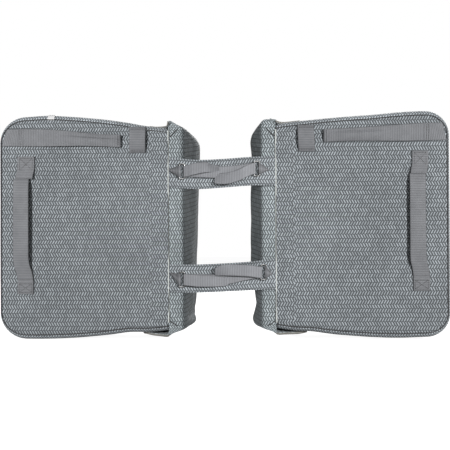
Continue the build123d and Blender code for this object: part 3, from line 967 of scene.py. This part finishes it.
def make_stay_strap(name, side):
    """Wide strap sewn down by the base, whose free end lies slightly rolled along the panel."""
    fold_u = abs(JOINTS[f"{name}_stay_strap_fold"]["pos_m"][0]) / MM
    top, bottom = (np.array(edge, float) for edge in STAY_EDGES[side])

    def edge_z(edge, u):
        return np.interp(u, edge[::-1, 0], edge[::-1, 1])

    sewn = []
    for edge in (top, bottom):
        rim = rim_u(side, edge[0][1])
        path = [(u, panel_y(side, u, edge_z(edge, u)) - 1.0) for u in (fold_u, 345, rim - 14, rim - 8)]
        path += [(rim - 2.6, PANEL_Y - 0.4), (rim - 0.6, PANEL_Y + 1.4)]
        sewn.append([(side * u, y, edge_z(edge, u)) for u, y in path])
    attach(ribbon(f"{name}_stay_strap_root", sewn, count=30), f"{name}_bag", f"{name}_strap_sewn_ends")

    free = [[], []]
    for u in np.linspace(fold_u, STAY_TIP, 11):
        share = (fold_u - u) / (fold_u - STAY_TIP)
        roll = smooth_step((share - 0.3) / 0.5)
        bow = 1.1 + 2.0 * math.sin(math.pi * share) + 0.5 * share
        for points, edge, lift in zip(free, (top, bottom), (2.6 * roll, 0.5 * roll)):
            z = edge_z(edge, u)
            points.append((side * u, panel_y(side, u, z) - bow - lift, z))
    strap = ribbon(f"{name}_stay_strap_webbing", free, count=80, cup=(0, 0, 1.2, 2.8, 3.2, 2.4, 1.2),
                   crease=(0, 0, 0, 0, 0.6, 1.8, 2.4, 2.4, 2.0, 1.2, 0))
    bend(strap,
         (side * (fold_u - BEND_START), 0, 0), (side * (fold_u - BEND_END), 0, 0))
    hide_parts(f"{name}_stay_strap")

    u, z0, z1 = STAY_TIP + 4.5, bottom[-1][1], top[-1][1]
    line = [(side * u, panel_y(side, u, z0) - 3.2 - 2.0 * t, z0 + (z1 - z0) * t)
            for t in np.linspace(0.08, 0.92, 6)]
    attach(stitches(f"{name}_stay_strap_hem", [line], **STRAP_THREAD), f"{name}_stay_strap")
    zs = np.linspace(edge_z(bottom, fold_u) + 2, edge_z(top, fold_u) - 2, 4)
    lines = [[on_panel(side, u, z, 1.75) for z in zs] for u in (fold_u + 5.5, fold_u + 9)]
    attach(stitches(f"{name}_stay_strap_sewing", lines, **STRAP_THREAD), f"{name}_bag")


def make_keeper(name, side):
    """Short webbing loop across the stay strap's line, sewn along both ends."""
    u0, u1, z0, z1 = spans(f"{name}_strap_keeper")
    skew = 2.0 if side > 0 else 0.4
    edges = [[], []]
    for z, rise in ((z0, 1.2), (z0 + 4, 1.25), (z0 + 8, 2.6), (z0 + 16, 3.7), (z1 - 16, 3.8),
                    (z1 - 8, 2.7), (z1 - 4, 1.25), (z1, 1.2)):
        lean = skew * (z - z0) / (z1 - z0)
        for edge, u in zip(edges, (u0, u1)):
            edge.append((side * (u - lean), panel_y(side, u, z) - rise, z))
    attach(ribbon(f"{name}_keeper_webbing", edges), f"{name}_bag", f"{name}_strap_keeper")
    lines = [[on_panel(side, u, z, 2.1) for u in np.linspace(u0 + 1, u1 - 2, 4)]
             for z in (z0 + 1.6, z0 + 3.8, z1 - 1.6, z1 - 3.8)]
    thread = stitches(f"{name}_keeper_stitches", lines, pitch=2.6, size=(2.0, 0.95, 0.45))
    attach(thread, f"{name}_bag")


LOWER_SWAY = {-1: 8.0, 1: -7.0}     # how far the loose strap has shifted from its sewn end
SEWN_SHIFT = {-1: 1.2, 1: -1.2}     # and how far its sewn end lies from the CAD strap
# Rise and lean of the lower strap's tab, from its loose to its sewn end
TAB_SHAPE = ((3.6, 3.0), (3.0, 2.4), (1.9, 1.2), (1.2, 0.3), *((1.0, 0.0),) * 4)


def make_lower_strap(name, side):
    """Narrow strap sewn at its aft end, its tab, and their box stitching."""
    bag = f"{name}_bag"
    u0, u1, z0, z1 = spans(f"{name}_lower_strap")
    z_end = spans(f"{name}_strap_sewn_ends")[2]
    shift, sway = SEWN_SHIFT[side], LOWER_SWAY[side]
    edges = [[], []]
    for share in np.linspace(0, 1, 15):
        z = z0 + (z1 - z0) * share
        moved = shift + (sway - shift) * smooth_step(share / 0.2)
        bow = 1.1 + 5.2 * smooth_step(share / 0.24) * (0.3 + 0.7 * smooth_step((1 - share) / 0.1))
        for edge, u, narrow in zip(edges, (u0, u1), (0.5, -0.5)):
            edge.append(on_panel(side, u + moved + narrow * smooth_step(share / 0.3), z, bow))
    strap = ribbon(f"{name}_lower_strap_webbing", edges, count=70, cup=(0, 0.6, -0.8, -0.8, -0.4, 0.5))
    bend(strap, (0, 0, z0 + BEND_START), (0, 0, z0 + BEND_END))
    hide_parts(f"{name}_lower_strap")

    zs = np.linspace(z_end, z0 + 0.8, 6)
    edges = [[on_panel(side, u + shift, z, 1.0) for z in zs] for u in (u0, u1)]
    attach(ribbon(f"{name}_lower_strap_root", edges, count=20), bag, f"{name}_strap_sewn_ends")

    a0, a1, t0, t1 = spans(f"{name}_lower_strap_tab")
    if side > 0:
        a0, a1 = a0 - 1, a1 - 3.5
    edges = [[on_panel(side, a - side * lean, z, rise)
              for z, (rise, lean) in zip(np.linspace(t0 - 0.4, t1, 8), TAB_SHAPE)] for a in (a0, a1)]
    attach(ribbon(f"{name}_lower_tab_webbing", edges, count=30), bag, f"{name}_lower_strap_tab")

    lines = x_box(a0 + 4, a1 - 4, t0 + 14, t1 - 3)
    lines += x_box(u0 + shift + 3, u1 + shift - 3, z_end + 3, z0 - 6.5)
    lines += [[(a0 + 3, t0 + 11), (a1 - 3, t0 + 11)]]
    lines = [[on_panel(side, u, z, 1.7) for u, z in line] for line in lines]
    attach(stitches(f"{name}_lower_strap_stitches", lines, **STRAP_THREAD), bag)
    line = [on_panel(side, u, z1 - 9, 4.35) for u in (u0 + sway + 2, u1 + sway - 2)]
    attach(stitches(f"{name}_lower_strap_hem", [line], **STRAP_THREAD), f"{name}_lower_strap")


# ---------------------------------------------------------------- bridge

BAND_LINES = {              # centre line and half width of each band, as (x, z, half)
    "fore": ((-92, 90.3, 24.7), (-80, 90, 24.7), (-38, 87.6, 24.2), (0, 89.2, 23.7), (48, 92.3, 23.6),
             (92, 92.8, 24.7)),
    "aft": ((-92, -88.2, 23.4), (-46, -88.4, 23.2), (0, -86.8, 23.2), (48, -84.2, 23.6),
            (92, -81, 25.6)),
}
# Samples across a band's hem, as shares of its half width
HEM_STEPS = (0.82, 0.84, 0.86, 0.9, 0.95, 0.985, 1.0)


def make_band(band):
    """Fabric band between the seams, with a folded hem along both edges."""
    node = f"{band}_band"
    half_x = high(node).x + 0.3
    line = resample(BAND_LINES[band], 90)
    shares = [*(-share for share in HEM_STEPS[::-1]), *np.linspace(-0.78, 0.78, 20), *HEM_STEPS]
    rows, hems = [], ([], [])
    for x in np.linspace(-half_x, half_x, 90):
        z_mid, half = (np.interp(x, line[:, 0], line[:, k]) for k in (1, 2))
        loose = smooth_step((half_x - abs(x)) / 25)
        row = []
        for share in shares:
            hem = 0.8 * smooth_step((abs(share) - 0.84) / 0.04)
            edge = 1.4 * smooth_step((abs(share) - 0.95) / 0.05)
            ripple = 0.9 * soft_noise(x, 3, z_mid + half * share, 26, 1.0)
            y = 0.9 - hem + edge + (ripple + 0.6 * math.cos(share * 2)) * loose
            row.append(((x, y, z_mid + half * share), (x + 1.0, BAND_HALF * share)))
        rows.append(row)
        if abs(x) < half_x - 2:
            for points, sign in zip(hems, (-1, 1)):
                points.append((x, 0.4 * loose, z_mid + half * 0.87 * sign))
    attach(sheet(f"{band}_band_cloth", rows, thickness=1.0), "bridge", node)
    attach(stitches(f"{band}_band_stitches", hems, size=(2.3, 0.9, 0.4)), "bridge")


RING_KEYS = ("fore_left", "fore_right", "aft_left", "aft_right")
TAB_ENDS = {                # where each ring tab is sewn to its point: u, rise over the ring's middle
    "fore_left": (90.2, 2.5), "fore_right": (79.0, -2.0),
    "aft_left": (88.0, 11.0), "aft_right": (84.0, -3.0),
}
TAB_POINT = 0.8             # half width of a ring tab's pointed end
WRAP = 1.75                 # webbing passes a ring's bar at this distance from its middle
PLY_HALF = 9.8              # half width of the carrier straps


def make_ring_tab(key):
    """Webbing folded round a ring's outer bar, its two plies sewn to a point on the band."""
    side = SIDES[key.split("_")[1]]
    bar, y_bar, z = (c / MM for c in JOINTS[f"{key}_ring_tilt"]["pos_m"])
    u = abs(bar)
    end_u, rise = TAB_ENDS[key]
    reach = end_u - u
    lower = [(u + reach * t, y, t) for t, y in ((1.0, -0.3), (0.66, -0.5), (0.33, -0.8))]
    upper = [(u + reach * t, y, t) for t, y in ((0.33, -3.6), (0.66, -2.2), (1.0, -1.3))]
    fold = [(u + a, y_bar + y, 0.0) for a, y in (
        (1.2, WRAP), (-1.2, 1.3), (-1.8, 0), (-1.2, -1.3), (0.6, -WRAP))]
    edges = [[(side * a, y, z + rise * t + sign * (TAB_POINT + (9.6 - TAB_POINT) * (1 - t) ** 0.9))
              for a, y, t in lower + fold + upper] for sign in (1, -1)]
    attach(ribbon(f"{key}_ring_tab", edges, 1.1, "carrier_webbing", count=70), "bridge", "ring_tabs")
    lines = [[(side * (u + reach * t), -5.5 + 3.3 * t, z + rise * t + sign * (8.0 * (1 - t) + 0.2))
              for t in (0.2, 0.92)] for sign in (1, -1)]
    attach(stitches(f"{key}_tab_stitches", lines, pitch=2.4, size=(1.5, 0.5, 0.3)), "bridge")


# Free run of each strap end: distance from the ring's bar towards the middle, rise of its
# centre line over the ring's middle, half width, height above the band, and lean of its face.
STRAP_RUNS = {
    "fore_left": ((6, 0.6, 9.8, 6.2, 0), (13.5, 3.0, 9.9, 8.0, 0), (30, 5.6, 9.2, 9.6, -1),
                  (39, 6.0, 8.2, 9.2, -3), (46, 4.2, 6.4, 8.0, -5), (58, 3.0, 5.6, 5.6, -5.5)),
    "fore_right": ((6, -1.6, 9.9, 6.4, 0), (13, -4.6, 9.9, 8.4, 0), (24, -10.2, 9.8, 9.8, 0),
                   (41, -15.6, 9.7, 9.2, 1), (55, -16.8, 9.4, 6.6, 2), (67, -17.4, 7.6, 3.6, 3)),
    "aft_left": ((6, -0.6, 10, 5.4, 0), (23.5, -2.2, 10, 6.4, 0), (46.5, -3.0, 9.4, 5.4, 0),
                 (62, -3.6, 8.2, 3.8, 0), (73, -4.0, 6.5, 3.0, 0)),
    "aft_right": ((6, 0.4, 9.7, 6.6, 0), (21, 2.6, 9.7, 8.8, 0), (48, 4.0, 9.7, 9.8, 0),
                  (66, 3.4, 9.0, 8.6, -2), (77, 0.4, 6.4, 6.0, -3)),
}


def make_strap_end(key):
    """The end of a carrier strap, folded round the ring's inner bar and lying back over it."""
    side = SIDES[key.split("_")[1]]
    bar, y_bar, z = (c / MM for c in JOINTS[f"{key}_strap_swing"]["pos_m"])
    u = abs(bar)
    path = [(u + a, y_bar + y, 0, PLY_HALF, 0) for a, y in (
        (-7, WRAP + 0.1), (-1, WRAP), (1.3, 1.2), (1.8, 0), (1.3, -1.2), (-1, -WRAP))]
    path += [(u - run, -height, rise, half, lean) for run, rise, half, height, lean in STRAP_RUNS[key]]
    edges = [[(side * a, y + sign * lean, z + rise + sign * half) for a, y, rise, half, lean in path]
             for sign in (1, -1)]
    name = f"{key}_strap_end"
    attach(ribbon(f"{name}_webbing", edges, 1.2, "carrier_webbing", count=90), name, name)


CARRIER_LINES = {           # centre line of the lower ply between its rings, as heights z
    "fore": (93, 92.2, 91, 91.4, 93, 96.5), "aft": (-90, -90.6, -91.2, -88, -82.5, -78),
}


def make_carrier_strap(band):
    """Lower ply of a carrier strap, lying slack on the band between its rings."""
    node = f"{band}_carrier_strap"
    heights = CARRIER_LINES[band]
    shares = np.linspace(0, 1, len(heights))
    xs = np.linspace(low(node).x + 1, high(node).x - 1, len(heights))
    edges = [[(x, -2.0 - math.sin(math.pi * share), z + sign * PLY_HALF)
              for x, share, z in zip(xs, shares, heights)] for sign in (1, -1)]
    attach(ribbon(f"{node}_webbing", edges, 1.2, "carrier_webbing"), "bridge", node)


def make_reflector():
    """Small reflective tag folded into the left bag's fore seam."""
    node = "left_side_reflector"
    x0, x1 = low(node).x, high(node).x
    top = side_half(-1, 1, abs(x0 + x1) / 2)
    path = [(PANEL_Y - 0.4, top - 6.0), (PANEL_Y - 0.8, top - 4.4), (PANEL_Y + 1.0, top - 1.6),
            (PANEL_Y + 5.0, top + 2.0), (PANEL_Y + 12, top + 3.6)]
    edges = [[(x, y, z - drop) for y, z in path] for x, drop in ((x0, 0), (x1, 0.15))]
    attach(ribbon("left_side_tag", edges, 0.7, "reflective", 16), "left_bag", node)


# ---------------------------------------------------------------- CAD nodes that stay

def dress_cad_nodes():
    """Hard pieces keep their CAD shape and get a material."""
    looks = {"ring": "metal", "board": "board", "foam": "foam"}
    for node_name, node in frame["nodes"].items():
        kind = node_name.split("_")[-1]
        if kind in looks:
            node.data.materials.clear()
            node.data.materials.append(MATERIALS[looks[kind]])


# ---------------------------------------------------------------- stage

def make_floor():
    """A floor that looks white to the camera and throws only a little light back."""
    size, z = 12.0, CAD_BOX[0].z - 0.004
    mesh = bpy.data.meshes.new("floor")
    mesh.from_pydata([(-size, -size, z), (size, -size, z), (size, size, z), (-size, size, z)],
                     [], [(0, 1, 2, 3)])
    floor = bpy.data.objects.new("floor", mesh)
    bpy.context.scene.collection.objects.link(floor)
    n = Nodes("pale_floor")
    seen_by_camera = n.node("LightPath", output="Is Camera Ray")
    n.surface(Base_Color=(0.3, 0.3, 0.3, 1), Roughness=0.9, Specular_IOR_Level=0.0,
              Emission_Color=(1, 1, 1, 1), Emission_Strength=n.line(seen_by_camera, 0.8, 0.15))
    mesh.materials.append(n.material)


def make_world():
    """White to the camera, faint to everything else."""
    world = bpy.data.worlds.new("studio")
    world.use_nodes = True
    tree = world.node_tree
    tree.nodes.clear()
    output, rays, seen, lit, blend = (tree.nodes.new("ShaderNode" + kind) for kind in (
        "OutputWorld", "LightPath", "Background", "Background", "MixShader"))
    seen.inputs["Color"].default_value = (1, 1, 1, 1)
    lit.inputs["Strength"].default_value = 0.07
    for start, stop in ((rays.outputs["Is Camera Ray"], blend.inputs[0]),
                        (lit.outputs[0], blend.inputs[1]), (seen.outputs[0], blend.inputs[2]),
                        (blend.outputs[0], output.inputs[0])):
        tree.links.new(start, stop)
    bpy.context.scene.world = world


def make_stage():
    """Pale floor and soft light, mostly from the camera's side."""
    make_floor()
    make_world()
    key = add_area("key", (0.0, -2.3, 0.5), 0.9, 28)
    keep_off(key, ("left_back_panel", "right_back_panel", "left_seam_facing", "right_seam_facing"))
    left = add_area("left_light", (-2.4, -2.7, 0.8), 0.2, 168)
    keep_off(left, ("right_", "fore_", "aft_"))
    right = add_area("right_light", (2.4, -2.7, 0.8), 0.2, 168)
    keep_off(right, ("left_",))
    add_area("top", (0.0, 0.4, 2.2), 1.8, 16)
    add_area("back", (0.6, 2.4, 1.2), 1.6, 60)


def keep_off(lamp, starts):
    """A lamp leaves out the pieces whose names start like this."""
    receivers = bpy.data.collections.new(f"{lamp.name}_receivers")
    lamp.light_linking.receiver_collection = receivers
    for piece in bpy.data.objects:
        if piece.type == "MESH" and piece.name.startswith(starts):
            receivers.objects.link(piece)
    for item in receivers.collection_objects:
        item.light_linking.link_state = "EXCLUDE"


def add_area(name, place, size, power):
    light = bpy.data.lights.new(name, "AREA")
    light.shape = "DISK"
    light.size = size
    light.energy = power
    lamp = bpy.data.objects.new(name, light)
    lamp.location = place
    lamp.rotation_euler = (-Vector(place)).to_track_quat("-Z", "Y").to_euler()
    bpy.context.scene.collection.objects.link(lamp)
    return lamp


CAMERA_DISTANCE = 2.0
CAMERA_AZIMUTH = math.radians(3.46)
CAMERA_RISE = math.radians(-0.9)
CAMERA_ROLL = math.radians(-0.28)
CAMERA_AIM = (0.005, 0.0, 0.0018)
FOCAL_RATIO = 2.6324444     # focal length over the width of the picture


def make_camera():
    """The photo's camera: nearly square on, a little to the right and rolled slightly."""
    data = bpy.data.cameras.new("camera")
    data.sensor_width = 36.0
    data.lens = data.sensor_width * FOCAL_RATIO
    data.clip_start, data.clip_end = 0.05, 50
    camera = bpy.data.objects.new("camera", data)
    level = math.cos(CAMERA_RISE)
    back = Vector((math.sin(CAMERA_AZIMUTH) * level, -math.cos(CAMERA_AZIMUTH) * level,
                   math.sin(CAMERA_RISE)))
    camera.location = Vector(CAMERA_AIM) + back * CAMERA_DISTANCE
    camera.rotation_mode = "QUATERNION"
    camera.rotation_quaternion = (-back).to_track_quat("-Z", "Y")
    camera.rotation_quaternion.rotate(Quaternion(back, CAMERA_ROLL))
    bpy.context.scene.collection.objects.link(camera)
    bpy.context.scene.camera = camera


# ---------------------------------------------------------------- build

for bag_name, bag_side in SIDES.items():
    make_panel(bag_name, bag_side, "back_panel", PANEL_Y, -1, panel_lift)
    make_panel(bag_name, bag_side, "outer_panel", OUTER_Y, 1, outer_lift)
    for make in (make_gusset, make_liner, make_seam, make_hood, make_flap, make_flap_fittings,
                 make_stay_strap, make_keeper, make_lower_strap):
        make(bag_name, bag_side)
for band_name in ("fore", "aft"):
    make_band(band_name)
    make_carrier_strap(band_name)
for ring_key in RING_KEYS:
    make_ring_tab(ring_key)
    make_strap_end(ring_key)
make_reflector()
dress_cad_nodes()
make_stage()
make_camera()
bpy.context.scene.view_settings.view_transform = "Standard"
